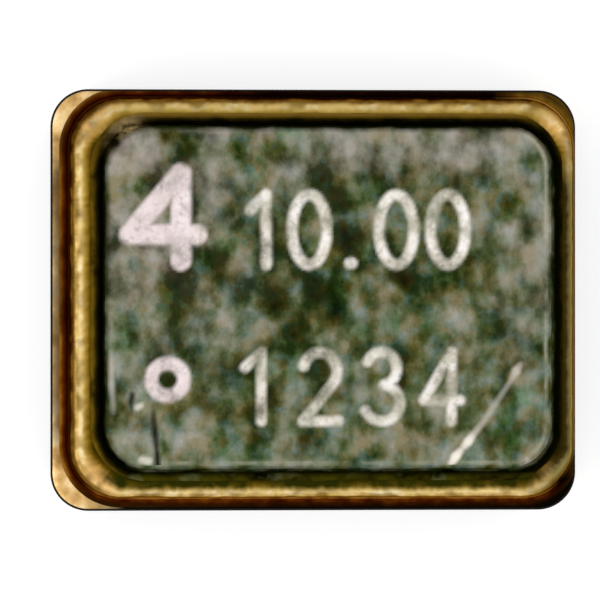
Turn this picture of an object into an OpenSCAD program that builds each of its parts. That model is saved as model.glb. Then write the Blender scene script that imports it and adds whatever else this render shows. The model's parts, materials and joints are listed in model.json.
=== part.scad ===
// Surface-mount crystal oscillator in a seam-welded ceramic package.
// Millimetres. The terminals stand on Z = 0, X runs along the package and +Z is the lid side.

/* [Ceramic package] */
// Length of the package, along X
package_l = 2.5; // [2.4:0.05:3.2]
// Width of the package, along Y
package_w = 2; // [1.9:0.05:2.5]
// Thickness of the floor under the die
floor_t = 0.15; // [0.1:0.01:0.25]
// Height of the crystal shelf above the floor
shelf_h = 0.2; // [0.17:0.01:0.3]
// Height of the wall above the crystal shelf
wall_h = 0.235; // [0.18:0.005:0.35]
// Thickness of the wall around the cavity
wall_t = 0.27; // [0.22:0.01:0.3]
// Corner radius of the package, outside
corner_r = 0.18; // [0.1:0.01:0.22]
// Corner radius of the cavity and of the die pit
cavity_r = 0.12; // [0.05:0.01:0.2]
// Length of the shelf that carries the crystal's fixed end
shelf_l = 0.44; // [0.36:0.01:0.5]
// Width of the ledge along the die pit's other three sides
ledge_w = 0.1; // [0.05:0.01:0.15]

/* [Terminals] */
// Length of a terminal pad, along X
terminal_l = 0.69; // [0.5:0.01:0.8]
// Width of a terminal pad, along Y
terminal_w = 0.65; // [0.5:0.01:0.75]
// Thickness of a terminal pad
terminal_t = 0.02; // [0.01:0.005:0.04]
// Gap from a pad to the package's edges
terminal_inset = 0.06; // [0.03:0.01:0.1]
// Corner radius of a terminal pad
terminal_r = 0.04; // [0.02:0.01:0.08]
// Radius of the castellation notch at each corner
notch_r = 0.135; // [0.1:0.005:0.16]
// Thickness of the plating on the notch wall
notch_plating = 0.015; // [0.01:0.005:0.03]
// Width of the plated collar around a notch
collar_w = 0.05; // [0.03:0.01:0.08]

/* [Seal ring] */
// Bare ceramic left beside the metallised seal land
land_setback = 0.01; // [0.005:0.005:0.02]
// Thickness of the seal land
land_t = 0.01; // [0.005:0.005:0.03]
// Thickness of the braze under the ring
braze_t = 0.01; // [0.005:0.005:0.03]
// Width and height of the braze fillet at the ring's foot
braze_fillet = 0.05; // [0.03:0.005:0.07]
// Distance from the package's edge to the ring, before its shift
ring_inset = 0.057; // [0.05:0.001:0.08]
// Height of the ring
ring_h = 0.095; // [0.07:0.005:0.15]
// Corner radius of the ring, outside
ring_corner_r = 0.24; // [0.2:0.01:0.35]
// Rounding of the ring's upper outer edge
ring_edge_r = 0.04; // [0.02:0.005:0.06]
// Step from the cavity wall back to the ring's opening
ring_step = 0.04; // [0.03:0.005:0.06]
// Sideways placement of the brazed ring, along X
ring_shift_x = 0.035; // [0:0.005:0.04]
// Sideways placement of the brazed ring, along Y
ring_shift_y = 0.01; // [0:0.005:0.02]

/* [Lid] */
// Ring top left bare around the lid's foot
lid_margin = 0.075; // [0.07:0.005:0.09]
// Thickness of the lid
lid_t = 0.08; // [0.06:0.005:0.12]
// Width of the seam-weld slope around the lid
weld_w = 0.075; // [0.04:0.005:0.09]
// Thickness left at the foot of the weld slope
weld_toe = 0.012; // [0.008:0.002:0.02]
// Corner radius of the lid's flat top
lid_corner_r = 0.19; // [0.15:0.005:0.3]
// Sideways placement of the lid on the ring, along X
lid_shift_x = 0.02; // [0:0.005:0.025]
// Sideways placement of the lid on the ring, along Y
lid_shift_y = 0.005; // [0:0.005:0.01]

/* [Crystal] */
// Gap from the blank's free end to the cavity wall
blank_end_gap = 0.29; // [0.1:0.01:0.6]
// Gap from the blank's long sides to the cavity walls
blank_side_gap = 0.205; // [0.1:0.005:0.26]
// Thickness of the quartz blank
blank_t = 0.087; // [0.04:0.001:0.14]
// Overhang of the blank past the centre of its adhesive
blank_overhang = 0.12; // [0.11:0.005:0.14]
// Bare quartz left at each end of an electrode field
electrode_end_gap = 0.35; // [0.3:0.01:0.5]
// Bare quartz left along each side of an electrode field
electrode_side_gap = 0.15; // [0.08:0.01:0.2]
// Thickness of an electrode film
electrode_t = 0.004; // [0.002:0.001:0.008]
// Width of an electrode's lead-out tab
tab_w = 0.22; // [0.21:0.01:0.28]
// Length of a crystal land on the shelf
crystal_land_l = 0.26; // [0.25:0.01:0.28]
// Width of a crystal land on the shelf
crystal_land_w = 0.34; // [0.26:0.01:0.4]
// Gap from the cavity's end wall to a crystal land
crystal_land_gap = 0.06; // [0.04:0.01:0.08]
// Distance from the blank's long side to the centre of its adhesive
adhesive_edge = 0.17; // [0.14:0.01:0.24]
// Diameter of an adhesive dot at its foot
adhesive_d = 0.24; // [0.22:0.01:0.25]
// Diameter of an adhesive dot under the blank
adhesive_top_d = 0.2; // [0.14:0.01:0.21]
// Thickness of an adhesive dot
adhesive_t = 0.03; // [0.02:0.005:0.05]

/* [Die and conductors] */
// Gap from the die's ends to its pit
die_end_gap = 0.16; // [0.08:0.01:0.22]
// Gap from the die's long sides to its pit
die_side_gap = 0.18; // [0.08:0.01:0.24]
// Thickness of the oscillator die
die_t = 0.12; // [0.08:0.01:0.13]
// Diameter of a gold bump
bump_d = 0.08; // [0.05:0.005:0.1]
// Height of a gold bump
bump_h = 0.025; // [0.015:0.005:0.03]
// Bumps in each of the two rows
bump_columns = 4; // [3:1:4]
// Distance from the die's edges to the centres of its outer bumps
bump_edge = 0.1; // [0.06:0.01:0.16]
// Side of a square die land
die_land = 0.13; // [0.11:0.01:0.15]
// Thickness of the printed lands and tracks inside
print_t = 0.01; // [0.005:0.005:0.015]
// Width of a printed track
track_w = 0.06; // [0.04:0.005:0.07]
// Diameter of a filled via
via_d = 0.1; // [0.06:0.01:0.12]

/* [Hidden] */
$fn = 64;

// Terminal numbers run anticlockwise from the corner beside the pin-one mark, seen from the lid.
terminal_side = [[-1, -1], [1, -1], [1, 1], [-1, 1]];
ground_terminal = 2;
// How far a cut runs past the face that it opens
cut = 0.01;
// Bow of a concave fillet: its radius over its chord
cove_bow = 0.9;
// Where a track meets a notch: its distance from the package's side over the notch's radius
track_meet = 0.6;

cavity_l = package_l - 2 * wall_t;
cavity_w = package_w - 2 * wall_t;
pit_l = cavity_l - shelf_l - ledge_w;
pit_w = cavity_w - 2 * ledge_w;
pit_x = (shelf_l - ledge_w) / 2;

floor_z = terminal_t + floor_t;
shelf_z = floor_z + shelf_h;
rim_z = shelf_z + wall_h;
braze_z = rim_z + land_t;
ring_z = braze_z + braze_t;
lid_z = ring_z + ring_h;

ring_l = package_l - 2 * ring_inset;
ring_w = package_w - 2 * ring_inset;
opening_l = cavity_l + 2 * ring_step;
opening_w = cavity_w + 2 * ring_step;
opening_r = cavity_r + ring_step;
lid_top_l = ring_l - 2 * (lid_margin + weld_w);
lid_top_w = ring_w - 2 * (lid_margin + weld_w);
ring_shift = [ring_shift_x, ring_shift_y];
lid_shift = ring_shift + [lid_shift_x, lid_shift_y];

crystal_land_x = -cavity_l / 2 + crystal_land_gap + crystal_land_l / 2;
adhesive_z = shelf_z + print_t;
blank_z = adhesive_z + adhesive_t + electrode_t;
blank_x = crystal_land_x - blank_overhang;
blank_l = cavity_l / 2 - blank_end_gap - blank_x;
blank_w = cavity_w - 2 * blank_side_gap;
electrode_x = blank_x + electrode_end_gap;
electrode_l = blank_l - 2 * electrode_end_gap;
electrode_w = blank_w - 2 * electrode_side_gap;
adhesive_y = blank_w / 2 - adhesive_edge;

die_l = pit_l - 2 * die_end_gap;
die_w = pit_w - 2 * die_side_gap;
bump_z = floor_z + print_t;
die_z = bump_z + bump_h;
bump_pitch = (die_l - 2 * bump_edge) / (bump_columns - 1);
bump_y = die_w / 2 - bump_edge;
track_y = package_w / 2 - track_meet * notch_r;
ground_via_at = [package_l / 2 - wall_t / 2, package_w / 2 - terminal_inset - terminal_w / 2];

function bump_at(column, side) =
    [pit_x - die_l / 2 + bump_edge + column * bump_pitch, side * bump_y];

// Corner point of the package at terminal n
function package_corner(n) =
    [terminal_side[n - 1][0] * package_l / 2, terminal_side[n - 1][1] * package_w / 2];

module at_ring(z) {
    translate([ring_shift[0], ring_shift[1], z]) children();
}

// Flat outline with round corners
module rounded(l, w, r) {
    square([l - 2 * r, w], center = true);
    square([l, w - 2 * r], center = true);
    for (x = [-1, 1], y = [-1, 1])
        translate([x * (l / 2 - r), y * (w / 2 - r)]) circle(r);
}

// Carries an edge profile round a rounded plate of the given height, and laps it into the plate.
// The profile's X points outwards from the plate's outline.
module swept_edge(l, w, r, h) {
    run = [l - 2 * r, w - 2 * r];
    lap = r / 2;
    for (quarter = [0:3]) {
        turned = quarter % 2;
        reach = turned == 0 ? [run[0], run[1]] : [run[1], run[0]];
        rotate(90 * quarter) {
            translate([reach[0] / 2, reach[1] / 2]) rotate_extrude(angle = 90) translate([r, 0]) {
                children();
                translate([-lap, 0]) square([lap, h]);
            }
            translate([reach[0] / 2 + r, reach[1] / 2, 0]) rotate([90, 0, 0]) linear_extrude(reach[1]) {
                children();
                translate([-lap, 0]) square([lap, h]);
            }
        }
    }
}

// Concave fillet in the corner between a wall and a floor, with a blunt edge of the given toe
module cove(w, h, toe) {
    chord = norm([w - toe, h - toe]);
    radius = cove_bow * chord;
    back = sqrt(pow(radius, 2) - pow(chord / 2, 2)) / chord;
    centre = [(w + toe) / 2 + back * (h - toe), (h + toe) / 2 + back * (w - toe)];
    difference() {
        square([w, h]);
        translate(centre) circle(radius);
    }
}

// Straight printed track between two points on one line
module track_run(a, b) {
    low = [min(a[0], b[0]) - track_w / 2, min(a[1], b[1]) - track_w / 2];
    high = [max(a[0], b[0]) + track_w / 2, max(a[1], b[1]) + track_w / 2];
    translate(low) square(high - low);
}

// Tracks from the die lands to the crystal vias and to the castellations
module track_plan() {
    for (side = [-1, 1]) {
        crystal = bump_at(0, side);
        crystal_turn = [crystal_land_x, crystal[1]];
        track_run(crystal, crystal_turn);
        track_run(crystal_turn, [crystal_land_x, side * adhesive_y]);
        for (end = [[-1, 1], [1, bump_columns - 1]]) {
            land = bump_at(end[1], side);
            turn = [land[0], side * track_y];
            track_run(land, turn);
            difference() {
                track_run(turn, [end[0] * (package_l - notch_r) / 2, turn[1]]);
                translate([end[0] * package_l / 2, side * package_w / 2]) circle(notch_r);
            }
        }
        for (column = [0:bump_columns - 1])
            translate(bump_at(column, side)) square(die_land, center = true);
    }
}

module crystal_via_plan() {
    for (side = [-1, 1])
        translate([crystal_land_x, side * adhesive_y]) circle(d = via_d);
}

module ground_via_plan() {
    side = terminal_side[ground_terminal - 1];
    translate([side[0] * ground_via_at[0], side[1] * ground_via_at[1]]) circle(d = via_d);
}

module package_plan() {
    rounded(package_l, package_w, corner_r);
}

module ceramic_body() {
    color("#1c1a19") difference() {
        union() {
            translate([0, 0, terminal_t]) linear_extrude(floor_t + shelf_h) difference() {
                package_plan();
                for (n = [1:4]) translate(package_corner(n)) circle(notch_r);
            }
            translate([0, 0, shelf_z]) linear_extrude(wall_h) package_plan();
        }
        translate([0, 0, shelf_z]) linear_extrude(wall_h + cut) rounded(cavity_l, cavity_w, cavity_r);
        translate([pit_x, 0, floor_z]) linear_extrude(shelf_h + cut) rounded(pit_l, pit_w, cavity_r);
        translate([0, 0, floor_z]) linear_extrude(print_t) track_plan();
        translate([0, 0, floor_z + print_t]) linear_extrude(shelf_h - print_t + cut) crystal_via_plan();
        translate([0, 0, terminal_t - cut]) linear_extrude(rim_z - terminal_t + 2 * cut) ground_via_plan();
    }
}

// Outer edge of the metallised land, which also stops the braze
module land_plan() {
    rounded(package_l - 2 * land_setback, package_w - 2 * land_setback, corner_r - land_setback);
}

module opening_plan() {
    rounded(opening_l, opening_w, opening_r);
}

module seal_land() {
    color("#a98a4a") translate([0, 0, rim_z]) linear_extrude(land_t) difference() {
        land_plan();
        rounded(cavity_l + 2 * land_setback, cavity_w + 2 * land_setback, cavity_r + land_setback);
    }
}

module braze_joint() {
    color("#5c4526") difference() {
        intersection() {
            at_ring(braze_z) {
                linear_extrude(braze_t) rounded(ring_l, ring_w, ring_corner_r);
                swept_edge(ring_l, ring_w, ring_corner_r, braze_t)
                    cove(braze_fillet, braze_fillet, braze_t);
            }
            translate([0, 0, braze_z - cut]) linear_extrude(braze_fillet + 2 * cut) land_plan();
        }
        at_ring(braze_z - cut) linear_extrude(braze_t + 2 * cut) opening_plan();
    }
}

module seal_ring() {
    flat_l = ring_l - 2 * ring_edge_r;
    flat_w = ring_w - 2 * ring_edge_r;
    flat_r = ring_corner_r - ring_edge_r;
    color("#d8b56a") at_ring(ring_z) difference() {
        union() {
            linear_extrude(ring_h) rounded(flat_l, flat_w, flat_r);
            swept_edge(flat_l, flat_w, flat_r, ring_h) {
                square([ring_edge_r, ring_h - ring_edge_r]);
                translate([0, ring_h - ring_edge_r]) intersection() {
                    square(ring_edge_r);
                    circle(ring_edge_r);
                }
            }
        }
        translate([0, 0, -cut]) linear_extrude(ring_h + 2 * cut) opening_plan();
    }
}

module lid() {
    color("#767a66") translate([lid_shift[0], lid_shift[1], lid_z]) {
        linear_extrude(lid_t) rounded(lid_top_l, lid_top_w, lid_corner_r);
        swept_edge(lid_top_l, lid_top_w, lid_corner_r, lid_t) cove(weld_w, lid_t, weld_toe);
    }
}

// Pad with its collar and the plating that climbs the castellation
module terminal(n) {
    corner = package_corner(n);
    side = terminal_side[n - 1];
    bore_r = notch_r - notch_plating;
    color("#c09a3c") {
        linear_extrude(terminal_t) difference() {
            union() {
                translate([
                    corner[0] - side[0] * (terminal_inset + terminal_l / 2),
                    corner[1] - side[1] * (terminal_inset + terminal_w / 2)
                ]) rounded(terminal_l, terminal_w, terminal_r);
                intersection() {
                    translate(corner) circle(notch_r + collar_w);
                    package_plan();
                }
            }
            translate(corner) circle(bore_r);
        }
        linear_extrude(shelf_z) intersection() {
            translate(corner) difference() {
                circle(notch_r);
                circle(bore_r);
            }
            package_plan();
        }
    }
}

module terminal_1() { terminal(1); }
module terminal_2() { terminal(2); }
module terminal_3() { terminal(3); }
module terminal_4() { terminal(4); }

// Joins the seal ring, and so the lid, to the ground terminal
module lid_ground_via() {
    color("#8d8a86") translate([0, 0, terminal_t]) linear_extrude(rim_z - terminal_t) ground_via_plan();
}

module crystal_vias() {
    color("#8d8a86") translate([0, 0, floor_z + print_t]) linear_extrude(shelf_h - print_t)
        crystal_via_plan();
}

module floor_tracks() {
    color("#b9a15c") translate([0, 0, floor_z]) linear_extrude(print_t) track_plan();
}

module crystal_land(side) {
    color("#c9a54e") translate([crystal_land_x, side * adhesive_y, shelf_z])
        linear_extrude(print_t) square([crystal_land_l, crystal_land_w], center = true);
}

module crystal_land_1() { crystal_land(-1); }
module crystal_land_2() { crystal_land(1); }

// Silver-filled dot that holds and feeds the blank
module adhesive_dot(side) {
    color("#a7a9a6") translate([crystal_land_x, side * adhesive_y, adhesive_z])
        cylinder(d1 = adhesive_d, d2 = adhesive_top_d, h = adhesive_t);
}

module adhesive_dot_1() { adhesive_dot(-1); }
module adhesive_dot_2() { adhesive_dot(1); }

module quartz_blank() {
    color("#dfe8ea") translate([blank_x, -blank_w / 2, blank_z]) cube([blank_l, blank_w, blank_t]);
}

// Electrode field with the tab that leads to the blank's fixed end on one side
module electrode_plan(side) {
    translate([electrode_x, -electrode_w / 2]) square([electrode_l, electrode_w]);
    translate([blank_x, side * adhesive_y - tab_w / 2]) square([electrode_end_gap + tab_w, tab_w]);
}

// The upper electrode's tab folds round the blank's end to reach its adhesive from below.
module upper_electrode() {
    fold_y = adhesive_y - tab_w / 2;
    color("#d9b65c") {
        translate([0, 0, blank_z + blank_t]) linear_extrude(electrode_t) electrode_plan(1);
        translate([blank_x - electrode_t, fold_y, blank_z - electrode_t])
            cube([electrode_t, tab_w, blank_t + 2 * electrode_t]);
        translate([blank_x, fold_y, blank_z - electrode_t])
            cube([2 * blank_overhang, tab_w, electrode_t]);
    }
}

module lower_electrode() {
    color("#d9b65c") translate([0, 0, blank_z - electrode_t]) linear_extrude(electrode_t)
        electrode_plan(-1);
}

module oscillator_die() {
    color("#4c5660") translate([pit_x - die_l / 2, -die_w / 2, die_z]) cube([die_l, die_w, die_t]);
}

module die_bumps() {
    color("#e0bb55")
        for (side = [-1, 1], column = [0:bump_columns - 1])
            translate([bump_at(column, side)[0], bump_at(column, side)[1], bump_z])
                cylinder(d = bump_d, h = bump_h);
}

ceramic_body();
seal_land();
braze_joint();
seal_ring();
lid();
terminal_1();
terminal_2();
terminal_3();
terminal_4();
lid_ground_via();
crystal_vias();
floor_tracks();
crystal_land_1();
crystal_land_2();
adhesive_dot_1();
adhesive_dot_2();
quartz_blank();
upper_electrode();
lower_electrode();
oscillator_die();
die_bumps();
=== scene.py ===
import json
import math

import bmesh
import bpy
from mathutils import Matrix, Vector, kdtree, noise


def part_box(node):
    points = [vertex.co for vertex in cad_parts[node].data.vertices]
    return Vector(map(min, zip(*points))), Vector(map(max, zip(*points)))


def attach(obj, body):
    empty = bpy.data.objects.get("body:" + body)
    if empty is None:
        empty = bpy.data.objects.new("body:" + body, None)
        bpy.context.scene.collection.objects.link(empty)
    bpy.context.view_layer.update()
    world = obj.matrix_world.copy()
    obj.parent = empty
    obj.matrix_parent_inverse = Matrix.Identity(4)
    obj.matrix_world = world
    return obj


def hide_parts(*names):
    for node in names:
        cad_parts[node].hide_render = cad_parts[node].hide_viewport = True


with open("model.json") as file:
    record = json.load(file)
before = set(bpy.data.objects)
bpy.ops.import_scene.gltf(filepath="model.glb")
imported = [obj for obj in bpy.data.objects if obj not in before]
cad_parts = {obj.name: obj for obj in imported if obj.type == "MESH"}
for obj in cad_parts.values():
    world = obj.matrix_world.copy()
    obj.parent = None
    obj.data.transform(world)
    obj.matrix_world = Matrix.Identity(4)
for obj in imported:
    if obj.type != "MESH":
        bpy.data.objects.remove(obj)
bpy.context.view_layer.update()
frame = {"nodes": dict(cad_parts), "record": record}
print("frame loaded:", len(frame["nodes"]), "nodes")

mm = 0.001    # pieces are shaped in millimetres and scaled once, when they are done
mergeGap = 0.0002    # vertices closer than this become one
edgeEase = 0.3    # where the middle step of a softened edge lies
tiny = 1e-6


# Helpers for shapes

def plan(length, width, radius, centre=(0, 0)):    # rounded outline, kept as its square core and its radius
    return {"core": Vector((length / 2 - radius, width / 2 - radius)), "radius": radius,
            "centre": Vector(centre)}


def grown(outline, offset):    # the same outline, moved outwards
    return {**outline, "radius": outline["radius"] + offset}


def shifted(outline, shift):    # the same outline, moved sideways
    return {**outline, "centre": outline["centre"] + Vector(shift)}


def reach(outline):    # half its length and width
    return outline["core"] + Vector((outline["radius"], outline["radius"]))


def nodePlan(node, radius):    # outline of a node's own box
    low, high = (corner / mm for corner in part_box(node))
    size, middle = high - low, (high + low) / 2
    return plan(size.x, size.y, radius, middle.xy)


def heights(node):    # a node's lowest and highest level
    return [corner.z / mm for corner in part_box(node)]


def split(point, outline):    # a point's nearest place on the core, and the way out from there
    local = point.xy - outline["centre"]
    core = outline["core"]
    near = Vector((max(-core.x, min(core.x, local.x)), max(-core.y, min(core.y, local.y))))
    return near, local - near


def rise(value, start, width):    # goes from 0 to 1 over a width
    return max(0, min(1, (value - start) / width))


def openOutline(bm, outline, z, cornerSteps, runStep):
    # a plate with bevelled corners and evenly cut sides, then only its edge is kept
    core, radius = outline["core"], outline["radius"]
    corners = bmesh.ops.create_grid(bm, x_segments=1, y_segments=1, size=1)["verts"]
    bmesh.ops.scale(bm, vec=(core.x + radius, core.y + radius, 1), verts=corners)
    bmesh.ops.translate(bm, vec=(*outline["centre"], z), verts=corners)
    made = bmesh.ops.bevel(bm, geom=corners, offset=radius, offset_type="OFFSET", segments=cornerSteps,
                           profile=0.5, affect="VERTICES", material=-1)
    face = made["verts"][0].link_faces[0]
    straight = 1.5 * min(core)    # only the straight sides are longer than this
    for edge in [e for e in face.edges if e.calc_length() > straight]:
        bmesh.ops.subdivide_edges(bm, edges=[edge], cuts=max(1, round(edge.calc_length() / runStep)) - 1)
    edges = face.edges[:]
    bmesh.ops.delete(bm, geom=[face], context="FACES_ONLY")
    return edges


def sweep(bm, edges, start, steps):
    # extrudes an outline's edge through (outline, height) steps and returns the last edge
    was = start
    for now, z in steps:
        made = bmesh.ops.extrude_edge_only(bm, edges=edges)["geom"]
        verts = [g for g in made if isinstance(g, bmesh.types.BMVert)]
        fresh = set(verts)
        edges = [g for g in made if isinstance(g, bmesh.types.BMEdge) and fresh.issuperset(g.verts)]
        for v in verts:
            near, out = split(v.co, was)
            share = Vector((near.x / was["core"].x, near.y / was["core"].y))
            spot = now["centre"] + share * now["core"] + out.normalized() * now["radius"]
            v.co = (spot.x, spot.y, z)
        was = now
    return edges


def cove(w, h, toe, bow, steps):
    # concave fillet from its top (toe, h) down to its foot (w, toe): offsets and heights
    chord = math.hypot(w - toe, h - toe)
    radius = bow * chord
    back = math.sqrt(radius ** 2 - (chord / 2) ** 2) / chord
    centre = Vector(((w + toe) / 2 + back * (h - toe), (h + toe) / 2 + back * (w - toe)))
    first = math.atan2(h - centre.y, toe - centre.x)
    last = math.atan2(toe - centre.y, w - centre.x)
    first, last = first % (2 * math.pi), last % (2 * math.pi)
    turns = [first + (last - first) * k / steps for k in range(steps + 1)]
    return [(centre.x + radius * math.cos(t), centre.y + radius * math.sin(t)) for t in turns]


def ripple(verts, height, pitch, shift):    # uneven surface, along the normals
    for v in verts:
        v.co += v.normal * (height * noise.noise(v.co / pitch + Vector((shift, 0, 0))))


def finishPiece(bm, name, material, node, sharp=40):    # sharp is the angle of a hard edge, in degrees
    bmesh.ops.remove_doubles(bm, verts=bm.verts, dist=mergeGap)
    bmesh.ops.recalc_face_normals(bm, faces=bm.faces)
    bmesh.ops.scale(bm, vec=(mm, mm, mm), verts=bm.verts)
    for face in bm.faces:
        face.smooth = True
    mesh = bpy.data.meshes.new(name)
    bm.to_mesh(mesh)
    bm.free()
    mesh.set_sharp_from_angle(angle=math.radians(sharp))
    mesh.materials.append(material)
    piece = bpy.data.objects.new(name, mesh)
    bpy.context.scene.collection.objects.link(piece)
    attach(piece, "root")
    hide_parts(node)
    print(name, "made:", len(mesh.polygons), "faces")


# Helpers for materials

def tone(red, green, blue):    # a screen colour, 0 to 255, as the shaders take it
    parts = [c / 255 for c in (red, green, blue)]
    return [c / 12.92 if c <= 0.04045 else ((c + 0.055) / 1.055) ** 2.4 for c in parts] + [1]


def newMaterial(name, metallic, roughness, edgeTint=(1, 1, 1, 1)):
    material = bpy.data.materials.new(name)
    material.use_nodes = True
    tree = material.node_tree
    shader = tree.nodes["Principled BSDF"]
    shader.inputs["Metallic"].default_value = metallic
    shader.inputs["Roughness"].default_value = roughness
    shader.inputs["Specular Tint"].default_value = edgeTint    # a metal's colour at a grazing angle
    return material, tree, shader


def place(tree, scale=(1, 1, 1)):    # object coordinates, in millimetres
    coords = tree.nodes.new("ShaderNodeTexCoord")
    mapping = tree.nodes.new("ShaderNodeMapping")
    mapping.inputs["Scale"].default_value = [s / mm for s in scale]
    tree.links.new(coords.outputs["Object"], mapping.inputs["Vector"])
    return mapping.outputs["Vector"]


def grain(tree, where, scale, detail=3, shift=0):    # noise with a given number of blotches per millimetre
    node = tree.nodes.new("ShaderNodeTexNoise")
    node.noise_dimensions = "4D"
    node.inputs["Scale"].default_value = scale
    node.inputs["Detail"].default_value = detail
    node.inputs["W"].default_value = shift
    tree.links.new(where, node.inputs["Vector"])
    return node.outputs["Fac"]


def ramp(tree, value, stops):    # stops are (place, colour)
    node = tree.nodes.new("ShaderNodeValToRGB")
    elements = node.color_ramp.elements
    while len(elements) < len(stops):
        elements.new(0.5)
    for element, (at, colour) in zip(elements, stops):
        element.position = at
        element.color = colour
    tree.links.new(value, node.inputs["Fac"])
    return node.outputs["Color"]


def shades(tree, value, stops):    # a ramp of screen colours, with stops as (place, red, green, blue)
    return ramp(tree, value, [(at, tone(*colour)) for at, *colour in stops])


def fade(tree, value, low, high, first=0, last=1):    # remaps a value, clamped
    node = tree.nodes.new("ShaderNodeMapRange")
    for name, number in (("From Min", low), ("From Max", high), ("To Min", first), ("To Max", last)):
        node.inputs[name].default_value = number
    tree.links.new(value, node.inputs["Value"])
    return node.outputs["Result"]


def maths(tree, operation, *values):
    node = tree.nodes.new("ShaderNodeMath")
    node.operation = operation
    for socket, value in zip(node.inputs, values):
        tree.links.new(value, socket)
    return node.outputs["Value"]


def times(tree, a, b):
    return maths(tree, "MULTIPLY", a, b)


def plus(tree, a, b):
    return maths(tree, "ADD", a, b)


def axis(tree, where, name):
    node = tree.nodes.new("ShaderNodeSeparateXYZ")
    tree.links.new(where, node.inputs["Vector"])
    return node.outputs[name]


def blotches(tree, where, pattern, cut, strength=(0, 1)):    # pattern is grain's scale, detail and shift
    return fade(tree, grain(tree, where, *pattern), *cut, *strength)


def toward(tree, where, name, cut, strength=(0, 1)):    # grows along an axis, between two places on it
    return fade(tree, axis(tree, where, name), *cut, *strength)


def blendColour(tree, factor, under, over):    # over is a colour or another node's output
    node = tree.nodes.new("ShaderNodeMix")
    node.data_type = "RGBA"
    tree.links.new(factor, node.inputs["Factor"])
    tree.links.new(under, node.inputs["A"])
    if isinstance(over, list):
        node.inputs["B"].default_value = over
    else:
        tree.links.new(over, node.inputs["B"])
    return node.outputs["Result"]


def attribute(tree, name):
    node = tree.nodes.new("ShaderNodeAttribute")
    node.attribute_name = name
    return node.outputs["Fac"]


def coat(tree, shader, colour, where, pattern, depth):    # colour, and a bump of a depth in millimetres
    tree.links.new(colour, shader.inputs["Base Color"])
    node = tree.nodes.new("ShaderNodeBump")
    node.inputs["Strength"].default_value = 1
    node.inputs["Distance"].default_value = depth * mm
    tree.links.new(grain(tree, where, *pattern), node.inputs["Height"])
    tree.links.new(node.outputs["Normal"], shader.inputs["Normal"])


# Seal land: thin metallised frame on the ceramic, bright where it shows at the left corners, with painted
# shade further right

landSpec = {"radius": 0.17, "opening": (1.98, 1.48, 0.13), "edge": 0.004, "shown": 0.035,
            "cornerSteps": 16, "runStep": 0.06}


def upperRight(tree, where):    # the upper right corner, where land and braze are brown gold instead of the painted shade
    return times(tree, toward(tree, where, "X", (0.85, 1.05)),
                 toward(tree, where, "Y", (0.65, 0.85), (0, 0.9)))


def landMaterial():
    material, tree, shader = newMaterial("landGold", metallic=1, roughness=0.36, edgeTint=tone(190, 150, 90))
    where = place(tree)
    colour = shades(tree, grain(tree, where, 9, 4), [
        (0.3, 150, 112, 62), (0.45, 214, 172, 108), (0.58, 248, 216, 160), (0.72, 255, 240, 210)])
    dull = shades(tree, grain(tree, where, 5, 3, 3), [
        (0.38, 92, 72, 44), (0.55, 138, 116, 80), (0.68, 190, 168, 128)])
    dull = blendColour(tree, fade(tree, attribute(tree, "across"), 0.1, 1), dull, tone(82, 56, 22))
    alongSide = fade(tree, maths(tree, "ABSOLUTE", axis(tree, where, "Y")), 0.6, 0.8, 0.9, 0)
    colour = blendColour(tree, alongSide, colour, dull)    # dull between the corners
    paintedShade = toward(tree, where, "X", (-1.1, -0.9))    # painted shade: nearly black right of the land's left side
    colour = blendColour(tree, paintedShade, colour, tone(10, 6, 2))
    colour = blendColour(tree, upperRight(tree, where), colour, tone(82, 58, 16))
    coat(tree, shader, colour, where, (40, 2), 0.0015)
    return material


def makeLand():
    bm = bmesh.new()
    across = bm.verts.layers.float.new("across")
    outer = nodePlan("seal_land", landSpec["radius"])
    low, high = heights("seal_land")
    inner, edge = plan(*landSpec["opening"]), landSpec["edge"]
    ease = edgeEase * edge
    ring = openOutline(bm, outer, low, landSpec["cornerSteps"], landSpec["runStep"])
    sweep(bm, ring, outer, [(outer, high - edge), (grown(outer, -ease), high - ease),
                            (grown(outer, -edge), high), (grown(outer, -landSpec["shown"]), high),
                            (inner, high), (inner, low), (outer, low)])
    for v in bm.verts:
        v[across] = min(1, (landSpec["radius"] - split(v.co, outer)[1].length) / landSpec["shown"])
    finishPiece(bm, "sealLand", landMaterial(), "seal_land")


# Braze: dark fillet between the land and the ring's foot, its dark brown partly painted shade

brazeSpec = {"fillet": 0.05, "toe": 0.01, "bow": 0.9, "coveSteps": 8, "cornerSteps": 24, "runStep": 0.025,
             "ringRadius": 0.24, "opening": (2.04, 1.54, 0.16), "ripple": 0.0022, "ripplePitch": 0.06,
             "smoothFoot": 0.004}


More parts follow.
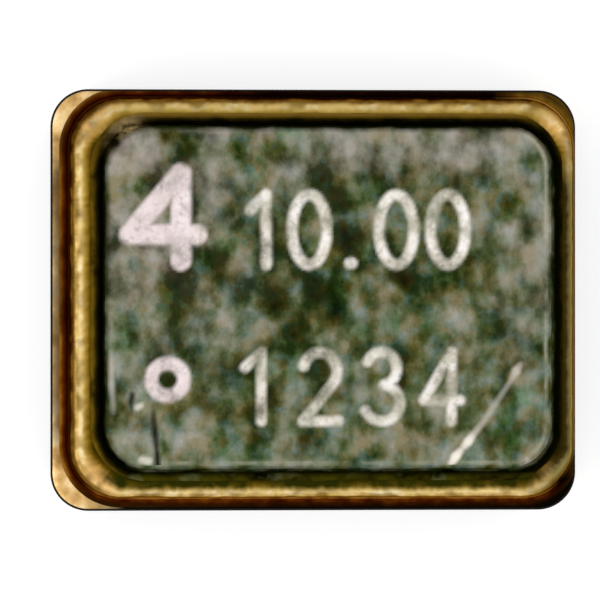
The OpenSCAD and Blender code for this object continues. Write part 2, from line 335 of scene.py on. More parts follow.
def brazeMaterial():
    material, tree, shader = newMaterial("brazeBrown", metallic=1, roughness=0.45, edgeTint=tone(110, 70, 30))
    where = place(tree)
    across = plus(tree, attribute(tree, "across"), blotches(tree, where, (14, 3), (0.3, 0.7), (-0.2, 0.2)))
    # dark brown braze across the fillet, partly painted shade of the hollow
    colour = shades(tree, across, [
        (0, 58, 26, 2), (0.3, 54, 18, 1), (0.6, 76, 34, 3), (0.8, 98, 54, 8), (1, 116, 80, 28)])
    dark = blotches(tree, where, (3, 3, 4), (0.46, 0.66), (0, 0.6))
    colour = blendColour(tree, dark, colour, tone(26, 7, 1))
    away = toward(tree, where, "X", (-0.9, -0.2), (0, 0.9))    # painted shade, darker away from the left side
    colour = blendColour(tree, away, colour, tone(14, 5, 1))
    warm = shades(tree, across, [(0, 156, 106, 38), (0.25, 112, 62, 14), (0.55, 64, 28, 3), (0.9, 26, 11, 1)])
    colour = blendColour(tree, toward(tree, where, "Y", (-0.86, -0.93), (0, 0.9)), colour, warm)
    right = times(tree, toward(tree, where, "X", (1.1, 1.16), (0, 0.9)),
                  toward(tree, where, "Y", (-0.85, -0.65)))
    colour = blendColour(tree, right, colour, tone(122, 92, 30))
    shoulder = shades(tree, across, [(0, 164, 122, 52), (0.5, 112, 82, 28), (1, 56, 40, 11)])
    colour = blendColour(tree, upperRight(tree, where), colour, shoulder)
    coat(tree, shader, colour, where, (30, 3), 0.002)
    return material


def makeBraze():
    bm = bmesh.new()
    across = bm.verts.layers.float.new("across")
    outer = nodePlan("seal_ring", brazeSpec["ringRadius"])
    land = nodePlan("seal_land", landSpec["radius"])
    base = heights("braze_joint")[0]
    inner = plan(*brazeSpec["opening"], outer["centre"])
    fillet, toe = brazeSpec["fillet"], brazeSpec["toe"]
    seat = base + toe    # the ring stands on the braze
    foot = grown(outer, fillet)
    curve = cove(fillet, fillet, toe, brazeSpec["bow"], brazeSpec["coveSteps"])
    ring = openOutline(bm, foot, base, brazeSpec["cornerSteps"], brazeSpec["runStep"])
    steps = [(grown(outer, x), base + h) for x, h in reversed(curve)]
    sweep(bm, ring, foot, steps + [(outer, base + fillet), (outer, seat), (inner, seat), (inner, base),
                                   (foot, base)])
    bm.normal_update()
    uneven = [v for v in bm.verts if v.co.z > seat + brazeSpec["smoothFoot"]]
    ripple(uneven, brazeSpec["ripple"], brazeSpec["ripplePitch"], shift=3)
    for v in bm.verts:    # the land's edge stops the braze
        v[across] = max(0, (split(v.co, outer)[1].length - outer["radius"]) / fillet)
        near, out = split(v.co, land)
        if out.length > land["radius"]:
            v.co.x, v.co.y = land["centre"] + near + out.normalized() * land["radius"]
    finishPiece(bm, "brazeFillet", brazeMaterial(), "braze_joint")


# Seal ring: gold frame whose rounded crest carries a beaded line of painted highlights round the lid

ringSpec = {
    "radius": 0.24, "edge": 0.04, "edgeSteps": 8, "opening": (2.04, 1.54, 0.16),
    "flat": (0.05, 0.06, 0.072, 0.086, 0.1, 0.12), "cornerSteps": 30, "runStep": 0.014,
    # unevenness, above the foot and outside what the lid covers
    "ripple": 0.003, "ripplePitch": 0.05, "wave": 0.003, "wavePitch": 0.22, "plainFoot": 0.3, "covered": 0.13,
    # painted foot shade, painted crest highlight and heat tint: their outline against the ring's, their
    # width, and the scallops that the weld spots left
    "tintShift": (0.0145, -0.0105), "tintGrowth": 0.0055, "tintWidth": 0.1, "cornerGain": 1.6,
    "cornerWiden": 0.4, "drawnIn": 0.022, "weldPitch": 0.048, "drift": 0.05, "driftPitch": 0.15,
    "scallop": 0.0035, "scallopLeast": 0.6, "scallopPitch": 0.1, "scallopFrom": 0.04, "scallopFade": 0.02}


def ringMaterial():
    material, tree, shader = newMaterial("ringGold", metallic=1, roughness=0.34, edgeTint=tone(140, 100, 45))
    where = place(tree)
    # painted shade at the foot, a painted highlight along the crest, then the heat tint beside the lid
    across = plus(tree, attribute(tree, "across"), blotches(tree, where, (16, 3), (0.3, 0.7), (-0.05, 0.05)))
    colour = shades(tree, across, [
        (0, 64, 38, 4), (0.08, 98, 70, 24), (0.16, 138, 106, 52), (0.24, 190, 158, 92), (0.33, 232, 200, 128),
        (0.4, 242, 212, 142), (0.5, 220, 188, 112), (0.62, 172, 140, 62), (0.76, 126, 97, 22),
        (0.9, 88, 66, 6), (1, 58, 45, 4)])
    tan = times(tree, attribute(tree, "corner"), blotches(tree, where, (8, 3, 4), (0.3, 0.6), (0.35, 0.8)))
    tan = times(tree, tan, times(tree, fade(tree, across, 0.1, 0.3), fade(tree, across, 0.85, 0.6)))
    colour = blendColour(tree, tan, colour, tone(224, 171, 100))
    # painted highlights on the crest, spotted like weld beads
    beadHighlights = blotches(tree, where, (17, 2, 2), (0.5, 0.68), (0, 0.75))
    beadHighlights = times(tree, beadHighlights, times(tree, fade(tree, across, 0.2, 0.34), fade(tree, across, 0.56, 0.42)))
    colour = blendColour(tree, beadHighlights, colour, tone(255, 240, 196))
    shadeBetweenBeads = blotches(tree, where, (12, 1.5, 9), (0.54, 0.34), (0, 0.85))    # painted shade, duller between the bead highlights
    shadeBetweenBeads = times(tree, shadeBetweenBeads, fade(tree, across, 0.9, 0.3))
    colour = blendColour(tree, shadeBetweenBeads, colour, tone(128, 98, 40))
    # darker olive beside the lid along the bottom: heat tint, partly painted shade
    lower = times(tree, toward(tree, where, "Y", (-0.79, -0.84)), fade(tree, across, 0.4, 0.7, 0, 0.97))
    lower = times(tree, lower, blotches(tree, where, (9, 3, 12), (0.36, 0.54), (0.5, 1)))
    colour = blendColour(tree, lower, colour, tone(36, 40, 4))
    upper = times(tree, toward(tree, where, "Y", (0.82, 0.88)), fade(tree, across, 0.16, 0.36, 0, 0.45))
    colour = blendColour(tree, upper, colour, tone(132, 110, 40))
    # colours of the painted shade down the right side, away from the light
    dull = shades(tree, across, [
        (0.04, 84, 62, 18), (0.16, 118, 100, 46), (0.28, 140, 127, 76), (0.4, 108, 97, 48),
        (0.54, 28, 22, 2)])
    paintedShade = times(tree, toward(tree, where, "X", (0.98, 1.14), (0, 0.94)),
                    toward(tree, where, "Y", (0.75, 0.55)))
    colour = blendColour(tree, paintedShade, colour, dull)    # painted shade, dull down the right side
    coat(tree, shader, colour, where, (45, 2), 0.0015)
    return material


def tintRing(bm, outer, across, corner):
    # each weld spot tints a scallop of the top beside the lid, and the corners stay clean
    tinted = grown(shifted(outer, ringSpec["tintShift"]), ringSpec["tintGrowth"])
    for v in bm.verts:
        near, out = split(v.co, tinted)
        inward = tinted["radius"] - out.length
        turn = math.atan2(out.y, out.x) * ringSpec["radius"]
        run = near.x + near.y + turn + ringSpec["drift"] * noise.noise(v.co / ringSpec["driftPitch"])
        depth = ringSpec["scallopLeast"] + noise.noise(v.co / ringSpec["scallopPitch"])
        scallop = math.sin(2 * math.pi * run / ringSpec["weldPitch"]) * depth
        v[corner] = min(1, ringSpec["cornerGain"] * min(abs(out.x), abs(out.y)) / out.length)
        if out.x > 0 > out.y:    # at the lower right the crest runs further in
            inward -= ringSpec["drawnIn"] * v[corner]
        fading = rise(inward, ringSpec["scallopFrom"], ringSpec["scallopFade"])
        inward += ringSpec["scallop"] * scallop * fading
        v[across] = max(0, inward / ringSpec["tintWidth"] / (1 + ringSpec["cornerWiden"] * v[corner]))


def makeRing():
    bm = bmesh.new()
    across, corner = (bm.verts.layers.float.new(name) for name in ("across", "corner"))
    outer = nodePlan("seal_ring", ringSpec["radius"])
    low, high = heights("seal_ring")
    inner = plan(*ringSpec["opening"], outer["centre"])
    edge, count = ringSpec["edge"], ringSpec["edgeSteps"]
    turns = [math.radians(90) * k / count for k in range(count + 1)]
    steps = [(grown(outer, edge * (math.cos(t) - 1)), high + edge * (math.sin(t) - 1)) for t in turns]
    steps += [(grown(outer, -x), high) for x in ringSpec["flat"]]
    ring = openOutline(bm, outer, low, ringSpec["cornerSteps"], ringSpec["runStep"])
    sweep(bm, ring, outer, steps + [(inner, high), (inner, low), (outer, low)])
    bm.normal_update()
    foot = low + ringSpec["plainFoot"] * (high - low)
    shown = [v for v in bm.verts if v.co.z > foot and split(v.co, outer)[1].length > ringSpec["covered"]]
    ripple(shown, ringSpec["ripple"], ringSpec["ripplePitch"], shift=0)
    ripple(shown, ringSpec["wave"], ringSpec["wavePitch"], shift=7)
    tintRing(bm, outer, across, corner)
    finishPiece(bm, "sealRing", ringMaterial(), "seal_ring")


# Lid: flat plate with a weld slope, laser marks, a long scratch and a crease

# plain numerals as strokes in a box one high; an arc is (centre, radii, first and last turn in degrees)
strokes = {
    "0": [[((0.5, 0.5), (0.5, 0.5), 90, 450)]],
    "1": [[(0.15, 0.78), (0.6, 1), (0.6, 0)]],
    "2": [[((0.49, 0.72), (0.47, 0.28), 165, -35), (0.02, 0), (1, 0)]],
    "3": [[((0.46, 0.76), (0.42, 0.24), 155, -80)], [((0.47, 0.26), (0.5, 0.26), 80, -155)]],
    "4": [[(0.76, 0), (0.76, 1), (0, 0.3), (1, 0.3)]],
    ".": [[(0.2, 0.02), (0.26, 0.02)]],
}

lidSpec = {
    # form: the flat, its rounded edge and the weld slope
    "topRadius": 0.19, "cell": 0.01, "cornerCuts": 18, "cutMargin": 0.02, "cutMerge": 0.001,
    "rounding": 0.016, "roundTurn": 62, "roundSteps": 4, "weld": 0.075, "toe": 0.012, "bow": 0.9,
    "coveSteps": 9, "coveStart": 0.003, "wave": 0.0012, "wavePitch": 0.3, "waveLevel": 0.5,
    "weldRipple": 0.004, "weldPitch": 0.07, "smoothFoot": 0.002, "smoothTop": 0.004,
    # marks: each row is (numerals, lower left corners' X, baseline, width and height, half stroke, strength)
    "markDepth": 0.0012, "markSoft": 0.01, "strokeStep": 0.012, "ringStep": 0.05,
    "rows": [("4", (-0.88,), 0.185, (0.32, 0.41), 0.047, 1),
             ("10.00", (-0.335, -0.115, 0.125, 0.295, 0.54), 0.166, (0.165, 0.33), 0.0245, 1),
             ("1234", (-0.36, -0.065, 0.23, 0.51), -0.57, (0.17, 0.325), 0.0235, 0.95)],
    "pinOne": {"centre": (-0.699, -0.374), "radius": 0.077, "half": 0.031},
    # wear: each station or spot is (X, Y, half width, strength)
    "scratchDepth": 0.003, "creaseDepth": 0.004, "wearStep": 0.003, "wearSoft": 0.008, "wearEnd": 0.002,
    "scratch": [(0.965, -0.305, 0.012, 0.3), (0.945, -0.335, 0.02, 0.5), (0.92, -0.38, 0.011, 0.3),
                (0.86, -0.47, 0.013, 0.24), (0.79, -0.575, 0.013, 0.28), (0.745, -0.63, 0.014, 0.45),
                (0.718, -0.668, 0.02, 0.95), (0.69, -0.7, 0.012, 0.6), (0.658, -0.739, 0.021, 1),
                (0.638, -0.77, 0.014, 0.8)],
    "tornSpots": [[(-0.967, -0.24, 0.008, 0.15), (-0.963, -0.4, 0.014, 0.4), (-0.952, -0.53, 0.008, 0.15)],
                  [(-0.84, -0.505, 0.014, 0.6), (-0.825, -0.495, 0.012, 0.55)],
                  [(-0.82, -0.752, 0.016, 0.55), (-0.79, -0.758, 0.018, 0.6)]],
    "crease": [(-0.768, -0.5, 0.006, 0.4), (-0.765, -0.57, 0.015, 0.8), (-0.758, -0.63, 0.016, 0.9),
               (-0.75, -0.7, 0.011, 0.9), (-0.745, -0.77, 0.014, 1), (-0.745, -0.79, 0.014, 1)],
    "nick": [(-0.865, -0.445, 0.014, 0.9), (-0.872, -0.48, 0.011, 0.9), (-0.868, -0.53, 0.005, 0.6)],
    "cleanSpots": [(-0.885, 0.79, 0.065, 0.8), (-0.93, 0.745, 0.045, 0.55)],    # the weld left these bright
    "burntSpots": [(-0.944, 0.738, 0.03, 1.25)],
    # staining: each patch is (X, Y, half length, half width, strength); below zero it is cleaner
    "stains": [(-0.1, 0.07, 0.19, 0.13, 1), (-0.16, 0.27, 0.1, 0.1, 0.7), (0.11, 0.5, 0.08, 0.16, 0.8),
               (0.14, 0.28, 0.09, 0.12, 0.7), (0.5, 0.05, 0.14, 0.11, 0.9), (0.88, -0.06, 0.06, 0.2, 0.7),
               (-0.78, -0.1, 0.14, 0.2, 0.5), (-0.08, -0.2, 0.12, 0.08, 0.6), (-0.62, 0.12, 0.12, 0.05, 0.4),
               (-0.5, -0.03, 0.1, 0.12, -0.6), (0.3, -0.69, 0.3, 0.07, -0.3), (0.9, 0.5, 0.13, 0.25, -0.4),
               (-0.1, 0.62, 0.6, 0.14, 0.45), (0.7, -0.02, 0.07, 0.15, -0.4), (0.93, 0.2, 0.12, 0.2, -0.1)],
    "greens": [(0.95, -0.53, 0.09, 0.12, 1), (0.24, -0.1, 0.09, 0.08, 0.8), (0.51, -0.14, 0.08, 0.07, 0.8),
               (0.9, -0.66, 0.07, 0.07, 0.8), (-0.3, 0.02, 0.09, 0.07, 0.7), (-0.15, 0.8, 0.15, 0.04, 0.8)],
    # cleaner and warmer zones: each is (start, width) along X or Y
    "cleanEdge": 0.4, "upper": (0.4, 0.3), "upperClean": 0.5, "upperWarm": 0.8, "leastWarm": 0.15,
    "left": (0.1, 0.6), "leftAbove": (-0.6, 1), "leftLeast": 0.2,
    "right": (0.75, 0.2), "rightAbove": (-0.45, 0.3), "rightWarm": 0.5,
    # the heat scale and painted shade on the weld slope, against the flat's edge, and the painted highlight
    # line along the rim
    "burnAndShadeShift": (0.014, -0.013), "burnAndShadeStart": 0.008, "burnAndShadeWidth": 0.1, "cleanFade": 0.02,
    "rimStrength": 0.7, "rimInside": 0.008, "rimHalf": 0.014}


def along(points, step, arcStep=10, arcLeast=8):    # evenly spaced places on a stroke
    placed = []
    for point in points:
        if isinstance(point[0], tuple):
            centre, radii, first, last = point
            count = max(arcLeast, round(abs(last - first) / arcStep))
            turns = [math.radians(first + (last - first) * k / count) for k in range(count + 1)]
            placed += [Vector((centre[0] + radii[0] * math.cos(t), centre[1] + radii[1] * math.sin(t)))
                       for t in turns]
        else:
            placed.append(Vector(point))
    spots = []
    for a, b in zip(placed, placed[1:]):
        count = max(1, math.ceil((b - a).length / step))
        spots += [a.lerp(b, k / count) for k in range(count + 1)]
    return spots


def patchwork(point, patches):    # how strongly soft-edged patches cover a point
    return sum(strength * math.exp(-((point.x - x) / length) ** 2 - ((point.y - y) / width) ** 2)
               for x, y, length, width, strength in patches)


def spotted(point, spot):    # how strongly one round spot covers a point
    x, y, half, strength = spot
    gap = (Vector((x, y)) - point.xy).length / half
    return strength * math.exp(-gap ** 2)


def stamp(tree, verts, layer, spots, half, soft, strength=1):
    # raises a layer's value near a row of spots, fading at its edges
    for spot in spots:
        for _, index, gap in tree.find_range((spot.x, spot.y, 0), half + soft):
            value = strength * rise(half + soft - gap, 0, 2 * soft)
            verts[index][layer] = max(verts[index][layer], value)


def lidMaterial():
    material, tree, shader = newMaterial("lidNickel", metallic=1, roughness=0.42, edgeTint=tone(120, 116, 96))
    where = place(tree)
    # stained in the middle, cleaner towards the edges; staining runs from nearly black to bare nickel
    stain = plus(tree, grain(tree, place(tree, (1.1, 0.9, 1)), 8, 5, 2),
                 fade(tree, attribute(tree, "edgeward"), 0, 1, -0.045, 0.022))
    stain = plus(tree, stain, fade(tree, attribute(tree, "stained"), -1, 1, 0.1, -0.1))
    colour = shades(tree, stain, [
        (0.2, 14, 22, 4), (0.36, 34, 50, 17), (0.44, 67, 80, 42), (0.5, 95, 105, 71), (0.57, 123, 127, 103),
        (0.66, 149, 147, 130), (0.76, 184, 178, 166)])
    green = shades(tree, stain, [
        (0.22, 10, 28, 4), (0.36, 32, 56, 18), (0.46, 58, 86, 42), (0.6, 104, 132, 104)])
    patch = times(tree, attribute(tree, "greened"), blotches(tree, where, (7, 3, 8), (0.3, 0.5), (0.4, 1)))
    patch = plus(tree, patch, blotches(tree, where, (5, 3, 5), (0.48, 0.66), (0, 0.8)))
    colour = blendColour(tree, patch, colour, green)
    olive = shades(tree, stain, [
        (0.22, 26, 22, 2), (0.36, 54, 50, 12), (0.46, 88, 82, 34), (0.6, 138, 126, 92)])
    colour = blendColour(tree, blotches(tree, where, (5, 3, 11), (0.5, 0.68), (0, 0.85)), colour, olive)
    cool = shades(tree, stain, [
        (0.22, 14, 30, 14), (0.36, 36, 62, 44), (0.5, 90, 112, 100), (0.66, 148, 156, 150)])
    colour = blendColour(tree, blotches(tree, where, (11, 3, 33), (0.5, 0.62), (0, 0.75)), colour, cool)
    colour = blendColour(tree, blotches(tree, where, (12, 3, 36), (0.51, 0.62), (0, 0.75)), colour, olive)
    rose = shades(tree, stain, [(0.35, 72, 66, 52), (0.5, 140, 132, 122), (0.65, 176, 166, 160)])
    warmed = times(tree, attribute(tree, "warm"), blotches(tree, where, (5, 3, 17), (0.38, 0.6), (0, 0.85)))
    colour = blendColour(tree, warmed, colour, rose)
    # painted highlight along the right and lower rim
    rimHighlight = times(tree, attribute(tree, "rim"), blotches(tree, where, (8, 3, 14), (0.44, 0.62)))
    colour = blendColour(tree, rimHighlight, colour, tone(170, 170, 150))
    # weld slope: black beside the flat as heat scale and partly painted shade, olive towards the ring,
    # mottled below and gold above
    outward = plus(tree, attribute(tree, "outward"),
                   blotches(tree, where, (12, 3, 2), (0.3, 0.7), (-0.06, 0.06)))
    scale = shades(tree, outward, [
        (0.3, 26, 30, 8), (0.4, 8, 8, 1), (0.58, 12, 11, 1), (0.72, 38, 30, 3), (0.88, 80, 62, 10)])
    black = blotches(tree, where, (7, 3, 24), (0.48, 0.64), (0, 0.85))
    scale = blendColour(tree, black, scale, tone(8, 10, 1))
    below = toward(tree, where, "Y", (-0.812, -0.838))
    mottled = times(tree, below, blotches(tree, where, (9, 3, 27), (0.4, 0.6), (0.05, 0.9)))
    scale = blendColour(tree, mottled, scale, tone(66, 62, 8))
    pale = times(tree, blotches(tree, where, (8, 3, 21), (0.52, 0.7)), below)
    scale = blendColour(tree, pale, scale, tone(96, 100, 60))
    above = toward(tree, where, "Y", (0.855, 0.885), (0, 0.9))
    scale = blendColour(tree, above, scale, tone(132, 102, 36))
    colour = blendColour(tree, fade(tree, outward, 0.02, 0.3), colour, scale)
    clean = times(tree, attribute(tree, "clean"), blotches(tree, where, (13, 3, 31), (0.42, 0.58), (0.15, 1)))
    colour = blendColour(tree, clean, colour, tone(206, 178, 124))
    colour = blendColour(tree, attribute(tree, "soil"), colour, tone(18, 16, 6))
    colour = blendColour(tree, attribute(tree, "bare"), colour, tone(248, 240, 228))
    # laser marks: frosted and speckled, pinker at the left
    frost = shades(tree, grain(tree, where, 9, 4, 6), [
        (0.3, 156, 152, 136), (0.42, 204, 198, 182), (0.54, 236, 229, 218), (0.66, 255, 250, 246)])
    pink = toward(tree, where, "X", (-0.4, -0.6), (0, 0.6))
    frost = blendColour(tree, pink, frost, tone(240, 220, 226))
    speckle = times(tree, blotches(tree, where, (10, 3, 3), (0.3, 0.52), (0.45, 1)),
                    blotches(tree, where, (34, 2, 19), (0.3, 0.5), (0.72, 1)))
    colour = blendColour(tree, times(tree, attribute(tree, "mark"), speckle), colour, frost)
    coat(tree, shader, colour, where, (26, 4), 0.0016)
    return material


def cutTop(bm, flat, high):    # a fine grid whose corners are rounded by cuts along their arc
    half, core = reach(flat), flat["core"]
    counts = [round(2 * h / lidSpec["cell"]) for h in half]
    bmesh.ops.create_grid(bm, x_segments=counts[0], y_segments=counts[1], size=1)
    bmesh.ops.scale(bm, vec=(half.x, half.y, 1), verts=bm.verts)
    inner = [c - lidSpec["cutMargin"] for c in core]
    for sx, sy in ((-1, -1), (-1, 1), (1, -1), (1, 1)):
        middle = Vector((sx * core.x, sy * core.y, 0))
        for k in range(lidSpec["cornerCuts"]):
            turn = math.radians(90) * (k + 0.5) / lidSpec["cornerCuts"]
            way = Vector((sx * math.cos(turn), sy * math.sin(turn), 0))
            near = [f for f in bm.faces if sx * f.calc_center_bounds().x > inner[0]
                    and sy * f.calc_center_bounds().y > inner[1]]
            parts = dict.fromkeys(g for f in near for g in (f, *f.edges, *f.verts))    # in a fixed order
            bmesh.ops.bisect_plane(bm, geom=list(parts), plane_co=middle + way * flat["radius"],
                                   plane_no=way, clear_outer=True)
    bmesh.ops.translate(bm, vec=(*flat["centre"], high), verts=bm.verts)
    bmesh.ops.remove_doubles(bm, verts=bm.verts, dist=lidSpec["cutMerge"])
    print("lid top cut:", len(bm.faces), "faces")


def stampMarks(verts, layers):    # numerals, the pin-one ring and the wear, as values on the flat's vertices
    tree = kdtree.KDTree(len(verts))
    for index, v in enumerate(verts):
        tree.insert((v.co.x, v.co.y, 0), index)
    tree.balance()
    soft, pinOne = lidSpec["markSoft"], lidSpec["pinOne"]
    for numerals, lefts, baseline, box, halfStroke, strength in lidSpec["rows"]:
        for numeral, left in zip(numerals, lefts):
            for line in strokes[numeral]:
                places = along(line, lidSpec["strokeStep"])
                spots = [Vector((left, baseline)) + s * Vector(box) for s in places]
                stamp(tree, verts, layers["mark"], spots, halfStroke, soft, strength)
    circle = along([((0, 0), (1, 1), 0, 360)], lidSpec["ringStep"])
    spots = [Vector(pinOne["centre"]) + pinOne["radius"] * s for s in circle]
    stamp(tree, verts, layers["mark"], spots, pinOne["half"], soft)
    lines = [(lidSpec["scratch"], "bare"), (lidSpec["crease"], "soil"), (lidSpec["nick"], "soil")]
    for line, layer in lines + [(spot, "bare") for spot in lidSpec["tornSpots"]]:
        for a, b in zip(line, line[1:]):
            a, b = Vector(a), Vector(b)
            count = max(2, round((b - a).xy.length / lidSpec["wearStep"]))
            for k in range(count + 1):
                x, y, half, strength = a.lerp(b, k / count)
                stamp(tree, verts, layers[layer], [Vector((x, y))], half, lidSpec["wearSoft"], strength)


def toneTop(verts, flat, layers):    # staining and warmth of the flat, and the depth of its marks and wear
    half = reach(flat)
    for v in verts:
        out = split(v.co, flat)[1].length
        inside = flat["radius"] - out if out > tiny else 1
        rest = half - Vector(map(abs, v.co.xy - flat["centre"]))
        upper = rise(v.co.y, *lidSpec["upper"])
        edgeward = 1 - min(inside, rest.x, rest.y) / lidSpec["cleanEdge"]
        v[layers["edgeward"]] = max(0, edgeward, lidSpec["upperClean"] * upper)
        v[layers["stained"]] = patchwork(v.co, lidSpec["stains"])
        v[layers["greened"]] = patchwork(v.co, lidSpec["greens"])
        left = max(lidSpec["leftLeast"], rise(v.co.y, *lidSpec["leftAbove"]))
        left *= rise(-v.co.x, *lidSpec["left"])
        right = lidSpec["rightWarm"] * rise(v.co.x, *lidSpec["right"]) * rise(v.co.y, *lidSpec["rightAbove"])
        v[layers["warm"]] = max(lidSpec["leastWarm"], left, right, lidSpec["upperWarm"] * upper)
        wave = lidSpec["waveLevel"] + noise.noise(v.co / lidSpec["wavePitch"])
        v.co.z -= (lidSpec["markDepth"] * v[layers["mark"]] + lidSpec["scratchDepth"] * v[layers["bare"]]
                   + lidSpec["creaseDepth"] * v[layers["soil"]] + lidSpec["wave"] * wave)


def tintEdge(bm, flat, layers):    # heat scale and painted shade on the slope, a painted highlight along the rim, clean and burnt spots
    burnAndShadeOutline = shifted(flat, lidSpec["burnAndShadeShift"])
    clean, soil, cleanFade = layers["clean"], layers["soil"], lidSpec["cleanFade"]
    for v in bm.verts:
        out = split(v.co, flat)[1].length - flat["radius"]
        if out > lidSpec["wearEnd"]:    # wear stays on the flat
            for name in ("mark", "bare", "soil"):
                v[layers[name]] = 0
        near, way = split(v.co, burnAndShadeOutline)
        burnAndShade = way.length - burnAndShadeOutline["radius"] + lidSpec["burnAndShadeStart"]
        v[layers["outward"]] = max(0, burnAndShade / lidSpec["burnAndShadeWidth"])
        side = max(v.co.x - near.x, near.y - v.co.y) / max(way.length, tiny)    # right and lower sides only
        # a painted highlight line just inside the flat's edge
        line = max(0, 1 - abs(out + lidSpec["rimInside"]) / lidSpec["rimHalf"])
        v[layers["rim"]] = lidSpec["rimStrength"] * line * max(0, side)
        for spot in lidSpec["cleanSpots"]:
            v[clean] = max(v[clean], spotted(v.co, spot) * rise(out, -cleanFade, cleanFade))
        for spot in lidSpec["burntSpots"]:
            v[soil] = max(v[soil], min(1, spotted(v.co, spot)))


def makeLid():
    bm = bmesh.new()
    layers = {name: bm.verts.layers.float.new(name) for name in (
        "mark", "rim", "outward", "bare", "soil", "edgeward", "clean", "warm", "stained", "greened")}
    low, high = heights("lid")
    foot = nodePlan("lid", lidSpec["topRadius"] + lidSpec["weld"])
    top = grown(foot, -lidSpec["weld"])
    rounding, toe = lidSpec["rounding"], lidSpec["toe"]
    flat = grown(top, toe - rounding)
    cutTop(bm, flat, high)
    topVerts = bm.verts[:]
    stampMarks(topVerts, layers)
    toneTop(topVerts, flat, layers)
    # the edge is rounded over and runs down the weld slope to the ring
    count = lidSpec["roundSteps"]
    turns = [math.radians(lidSpec["roundTurn"]) * k / count for k in range(1, count + 1)]
    steps = [(grown(flat, rounding * math.sin(t)), high + rounding * (math.cos(t) - 1)) for t in turns]
    startOut = steps[-1][0]["radius"] - top["radius"] + lidSpec["coveStart"]
    startHeight = steps[-1][1] - low
    curve = cove(lidSpec["weld"], high - low, toe, lidSpec["bow"], lidSpec["coveSteps"])
    steps += [(grown(top, x), low + h) for x, h in curve if x > startOut and h < startHeight]
    edges = sweep(bm, [e for e in bm.edges if e.is_boundary], flat, steps + [(foot, low)])
    bmesh.ops.contextual_create(bm, geom=edges)
    bm.normal_update()
    bottom, brim = low + lidSpec["smoothFoot"], high - lidSpec["smoothTop"]
    weld = [v for v in bm.verts if bottom < v.co.z < brim]
    ripple(weld, lidSpec["weldRipple"], lidSpec["weldPitch"], shift=5)
    tintEdge(bm, flat, layers)
    finishPiece(bm, "lidPlate", lidMaterial(), "lid", sharp=60)


# Ceramic box: two fired layers, the lower one notched at its corners and holding the die pit

ceramicSpec = {"corner": 0.18, "notch": 0.135, "seam": 0.37, "floor": 0.17, "cavity": (1.96, 1.46, 0.12),
               "pit": (1.42, 1.26, 0.12), "pitAt": (0.17, 0), "edge": 0.007, "jointGap": 0.0005,
               "cornerSteps": 32, "runStep": 0.2, "shine": 0.15}


def ceramicMaterial():
    material, tree, shader = newMaterial("blackCeramic", metallic=0, roughness=0.6)
    shader.inputs["Specular IOR Level"].default_value = ceramicSpec["shine"]
    where = place(tree)
    colour = shades(tree, grain(tree, where, 18, 4), [(0.3, 7, 6, 6), (0.55, 13, 12, 12), (0.75, 26, 25, 24)])
    coat(tree, shader, colour, where, (60, 3), 0.0015)
    return material


def makeCeramic():
    bm = bmesh.new()
    low, high = heights("ceramic_body")
    seam, edge = ceramicSpec["seam"], ceramicSpec["edge"]
    cornerSteps, runStep = ceramicSpec["cornerSteps"], ceramicSpec["runStep"]
    ease = edgeEase * edge
    outer = nodePlan("ceramic_body", ceramicSpec["corner"])
    soft, inset = grown(outer, -ease), grown(outer, -edge)
    # lower layer with the die pit, pushed in round each corner's notch
    pit = plan(*ceramicSpec["pit"], ceramicSpec["pitAt"])
    ring = openOutline(bm, soft, seam, cornerSteps, runStep)
    wall = sweep(bm, ring, soft, [(outer, seam - ease), (outer, low + edge), (soft, low + ease),
                                  (inset, low)])
    half = reach(outer)
    for v in bm.verts:
        corner = Vector((math.copysign(half.x, v.co.x), math.copysign(half.y, v.co.y)))
        away = v.co.xy - corner
        if away.length < ceramicSpec["notch"]:
            v.co.x, v.co.y = corner + away.normalized() * ceramicSpec["notch"]
    bmesh.ops.contextual_create(bm, geom=wall)
    pitEdge = openOutline(bm, pit, seam, cornerSteps, runStep)
    floorEdge = sweep(bm, pitEdge, pit, [(pit, ceramicSpec["floor"])])
    bmesh.ops.contextual_create(bm, geom=floorEdge)
    bmesh.ops.triangle_fill(bm, use_beauty=True, use_dissolve=False, edges=ring + pitEdge)
    # upper layer, a frame round the cavity
    cavity = plan(*ceramicSpec["cavity"])
    joint = seam + ceramicSpec["jointGap"]
    ring = openOutline(bm, soft, joint, cornerSteps, runStep)
    sweep(bm, ring, soft, [(outer, joint + ease), (outer, high - edge), (soft, high - ease), (inset, high),
                           (cavity, high), (cavity, joint), (soft, joint)])
    finishPiece(bm, "ceramicBox", ceramicMaterial(), "ceramic_body", sharp=30)


# Terminals: the nodes' own forms with the soft edges of plated pads

terminalSpec = {"edge": 0.003, "edgeSteps": 2, "sharp": 30, "flatWithin": 1}


def terminalMaterial():
    material, tree, shader = newMaterial("terminalGold", metallic=1, roughness=0.42)
    where = place(tree)
    colour = shades(tree, grain(tree, where, 9, 5), [
        (0.3, 96, 62, 12), (0.42, 158, 112, 26), (0.58, 190, 148, 38), (0.75, 222, 186, 84)])
    specks = blotches(tree, where, (26, 2, 8), (0.6, 0.7), (0, 0.85))
    colour = blendColour(tree, specks, colour, tone(66, 42, 10))
    coat(tree, shader, colour, where, (30, 4), 0.003)
    return material


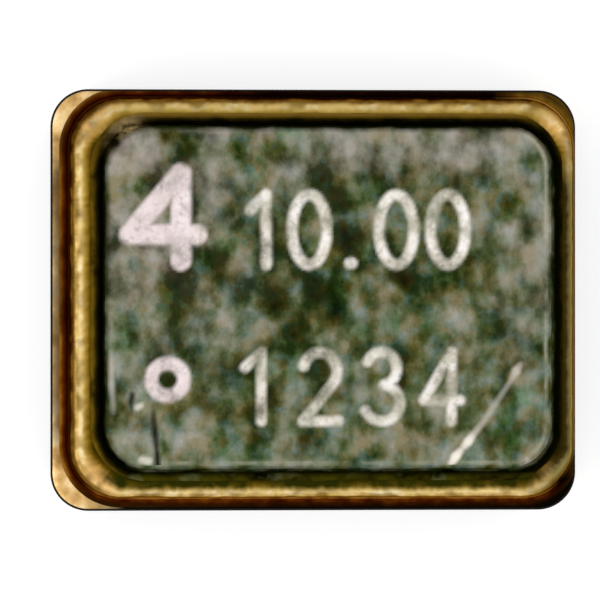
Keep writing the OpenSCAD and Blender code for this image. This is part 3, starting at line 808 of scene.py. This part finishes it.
def makeTerminals():
    finish = terminalMaterial()
    for number in (1, 2, 3, 4):
        node = f"terminal_{number}"
        bm = bmesh.new()
        bm.from_mesh(frame["nodes"][node].data)
        bmesh.ops.scale(bm, vec=(1 / mm, 1 / mm, 1 / mm), verts=bm.verts)
        bmesh.ops.remove_doubles(bm, verts=bm.verts, dist=mergeGap)
        bmesh.ops.dissolve_limit(bm, angle_limit=math.radians(terminalSpec["flatWithin"]), verts=bm.verts,
                                 edges=bm.edges)
        corners = [e for e in bm.edges if e.calc_face_angle(0) > math.radians(terminalSpec["sharp"])]
        bmesh.ops.bevel(bm, geom=corners, offset=terminalSpec["edge"], offset_type="OFFSET",
                        segments=terminalSpec["edgeSteps"], profile=0.5, affect="EDGES", material=-1,
                        clamp_overlap=True)
        finishPiece(bm, f"terminalPad{number}", finish, node, sharp=35)


# Carried-over nodes: what the box holds

def plainFinish(name, low, high, roughness, metallic=1, scale=25):
    material, tree, shader = newMaterial(name, metallic, roughness)
    where = place(tree)
    colour = ramp(tree, grain(tree, where, scale, 4), [(0.35, low), (0.65, high)])
    coat(tree, shader, colour, where, (60, 2), 0.0008)
    return material


def quartzMaterial():
    material = plainFinish("quartz", tone(222, 232, 234), tone(240, 246, 247), 0.12, metallic=0, scale=6)
    shader = material.node_tree.nodes["Principled BSDF"]
    shader.inputs["Transmission Weight"].default_value = 0.85
    shader.inputs["IOR"].default_value = 1.544
    return material


def dressNodes():
    finishes = {
        "inner_gold": plainFinish("innerGold", tone(196, 156, 70), tone(236, 206, 128), 0.32),
        "tungsten": plainFinish("tungsten", tone(112, 110, 108), tone(164, 160, 156), 0.5),
        "silver_adhesive": plainFinish("silverAdhesive", tone(150, 151, 150), tone(206, 206, 202), 0.6,
                                       metallic=0.4, scale=40),
        "silicon": plainFinish("silicon", tone(62, 68, 78), tone(92, 99, 112), 0.18, metallic=0.5, scale=8),
        "quartz": quartzMaterial()}
    for part in frame["record"]["subparts"]:
        finish = finishes.get(part["material_slot"])
        if finish:
            mesh = frame["nodes"][part["node"]].data
            mesh.materials.clear()
            mesh.materials.append(finish)
    print("carried-over nodes dressed")


# Studio: pale floor, soft light brighter from the left, camera above

studio = {"floor": 0.5, "floorGap": 0.000005, "floorTone": (0.55, 0.55, 0.55), "floorGlow": 0.6,
          "floorRoughness": 0.9, "zenith": 1.0, "zenithAt": 0.9, "horizon": 0.6,
          "softboxSize": 0.03, "softboxAt": (-0.035, -0.012, 0.04), "softboxPower": 0.006,
          "eye": (-0.00115, 0.0, 0.02), "aim": (-0.000071, 0.0, 0.0007), "across": 0.002838,
          "sensor": 36, "clip": (0.001, 5)}


def makeFloor():
    bm = bmesh.new()
    bmesh.ops.create_grid(bm, x_segments=1, y_segments=1, size=studio["floor"])
    bmesh.ops.translate(bm, vec=(0, 0, -studio["floorGap"]), verts=bm.verts)
    mesh = bpy.data.meshes.new("paleFloor")
    bm.to_mesh(mesh)
    bm.free()
    material, tree, shader = newMaterial("paleFloor", metallic=0, roughness=studio["floorRoughness"])
    shader.inputs["Base Color"].default_value = (*studio["floorTone"], 1)
    shader.inputs["Emission Color"].default_value = (1, 1, 1, 1)
    rays = tree.nodes.new("ShaderNodeLightPath").outputs
    # the floor shows white to the camera, in metal and through glass
    seen = maths(tree, "MAXIMUM", rays["Is Camera Ray"], rays["Is Glossy Ray"])
    seen = maths(tree, "MAXIMUM", seen, rays["Is Transmission Ray"])
    tree.links.new(fade(tree, seen, 0, 1, 0, studio["floorGlow"]), shader.inputs["Emission Strength"])
    mesh.materials.append(material)
    floor = bpy.data.objects.new("paleFloor", mesh)
    bpy.context.scene.collection.objects.link(floor)


def makeLight():
    world = bpy.data.worlds.new("softRoom")
    bpy.context.scene.world = world
    world.use_nodes = True
    tree = world.node_tree
    coords = tree.nodes.new("ShaderNodeTexCoord")
    level = ramp(tree, axis(tree, coords.outputs["Generated"], "Z"), [
        (0, [studio["horizon"]] * 3 + [1]), (studio["zenithAt"], [studio["zenith"]] * 3 + [1])])
    tree.links.new(level, tree.nodes["Background"].inputs["Color"])
    lamp = bpy.data.lights.new("softbox", "AREA")
    lamp.size = studio["softboxSize"]
    lamp.energy = studio["softboxPower"]
    box = bpy.data.objects.new("softbox", lamp)
    box.location = studio["softboxAt"]
    box.rotation_euler = (-box.location).to_track_quat("-Z", "Y").to_euler()
    bpy.context.scene.collection.objects.link(box)


def makeCamera():
    data = bpy.data.cameras.new("camera")
    camera = bpy.data.objects.new("camera", data)
    camera.location = studio["eye"]
    gaze = Vector(studio["aim"]) - camera.location
    camera.rotation_euler = (math.atan2(gaze.y, -gaze.z), -math.atan2(gaze.x, -gaze.z), 0)
    data.sensor_width = studio["sensor"]
    data.lens = studio["sensor"] * gaze.length / studio["across"]
    data.clip_start, data.clip_end = studio["clip"]
    bpy.context.scene.collection.objects.link(camera)
    bpy.context.scene.camera = camera


makeLand()
makeBraze()
makeRing()
makeLid()
makeCeramic()
makeTerminals()
dressNodes()
makeFloor()
makeLight()
makeCamera()
bpy.context.scene.view_settings.view_transform = "Standard"
print("studio set")
